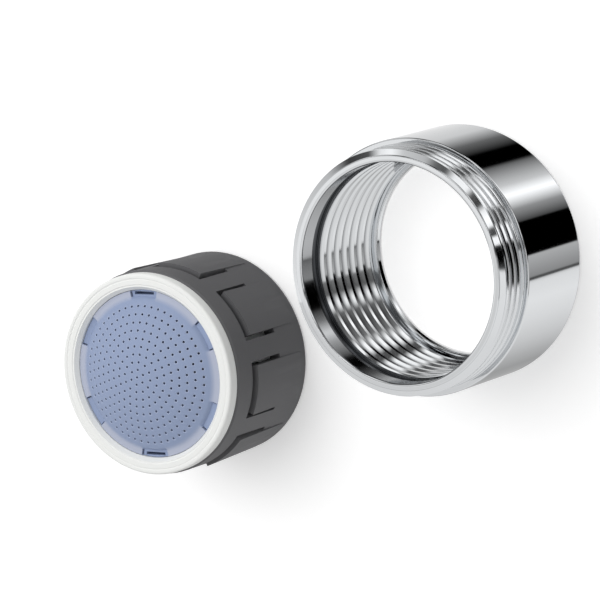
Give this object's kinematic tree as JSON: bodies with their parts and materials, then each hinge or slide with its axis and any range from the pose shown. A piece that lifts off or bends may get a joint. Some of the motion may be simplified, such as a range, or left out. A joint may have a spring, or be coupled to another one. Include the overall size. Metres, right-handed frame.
{
  "type": "tap aerator",
  "caption": "Tap aerator taken apart: a threaded chrome housing ring beside the plastic cartridge that drops into it, with a domed perforated inlet screen.",
  "frame": {"origin": "on the ground, in the middle of the pair, which stands on its outlet ends", "axes": "+Z along both axes from the outlet end to the inlet end; the housing stands at +X and the cartridge at -X"},
  "size_m": [0.0552, 0.0252, 0.0152],
  "materials": {
    "chrome_plated_brass": "polished",
    "washer": "matt",
    "screen_plastic": "matt",
    "shell_plastic": "satin",
    "inner_plastic": "satin",
    "regulator_rubber": "matt",
    "mesh_plastic": "satin"
  },
  "bodies": {
    "root": {"housing": "chrome_plated_brass", "sealing_washer": "washer", "inlet_screen": "screen_plastic", "cartridge_shell": "shell_plastic", "regulator_seat": "inner_plastic", "regulator_ring": "regulator_rubber", "jet_plate": "inner_plastic", "spacer_ring": "inner_plastic", "mixing_screen_1": "mesh_plastic", "mixing_screen_2": "mesh_plastic", "mixing_screen_3": "mesh_plastic", "outlet_grid": "mesh_plastic"}
  },
  "joints": []
}
